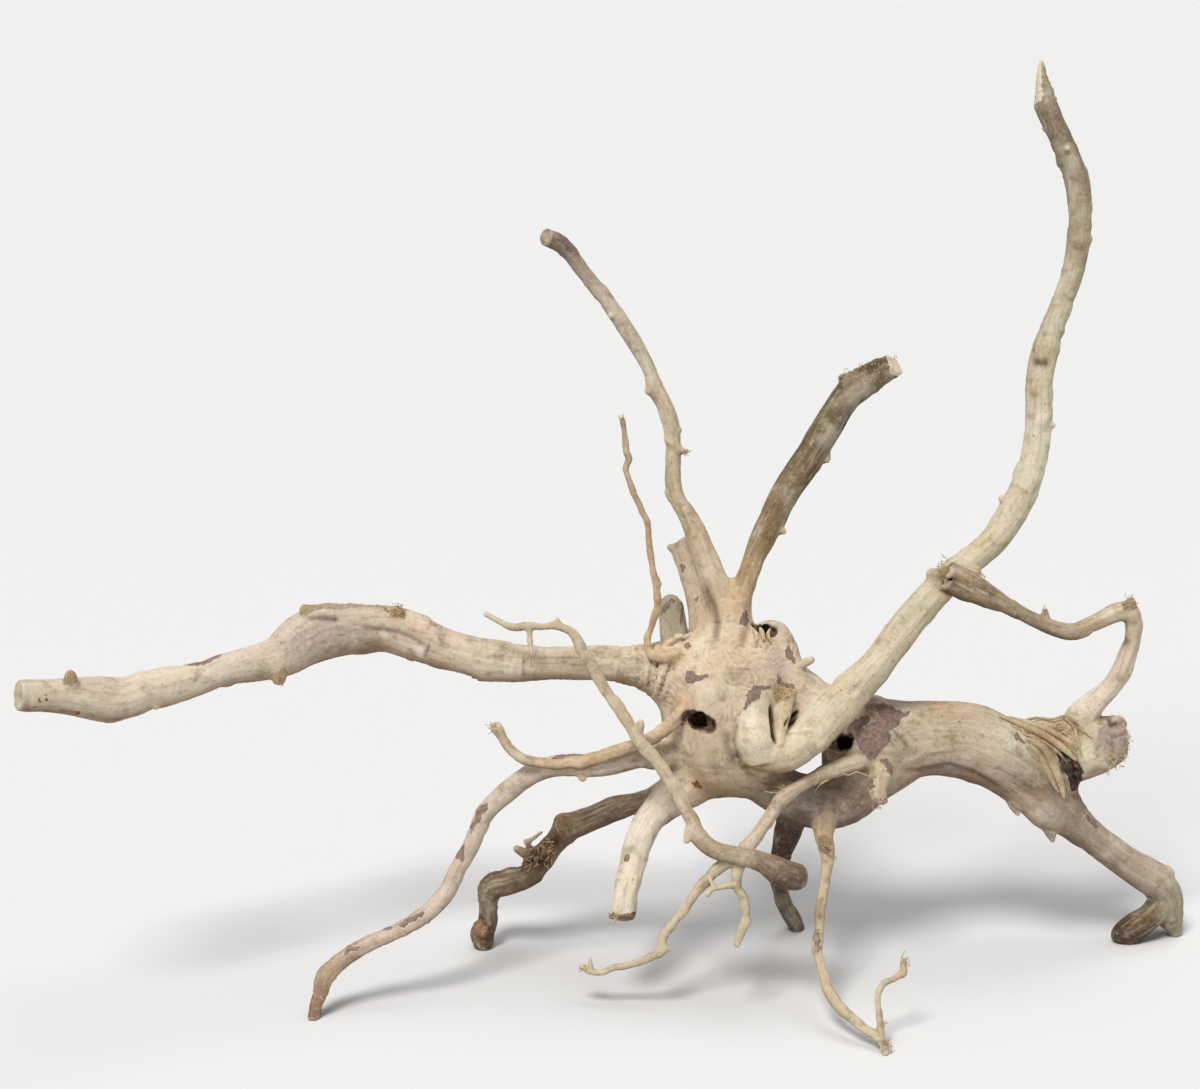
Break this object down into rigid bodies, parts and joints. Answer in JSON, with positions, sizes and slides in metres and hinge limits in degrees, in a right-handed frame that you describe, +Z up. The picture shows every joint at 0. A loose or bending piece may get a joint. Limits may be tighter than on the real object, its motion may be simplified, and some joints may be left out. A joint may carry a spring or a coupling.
{
  "type": "piece of driftwood",
  "caption": "Branching bleached driftwood that stands on its roots: a knotted stump with a long sideways arm, upright limbs, a looping branch, a thick side trunk and fine twigs.",
  "frame": {"origin": "on the surface it stands on, below the centre of its bounding box", "axes": "+X towards the foot of the thick trunk, away from the long arm; +Y away from the viewer; +Z up"},
  "size_m": [1.1453, 0.4675, 0.8675],
  "materials": {
    "wood": "bleached and weathered, matt, with grey-mauve bark remains and tan torn places"
  },
  "bodies": {
    "root": {"driftwood": "wood"}
  },
  "joints": []
}
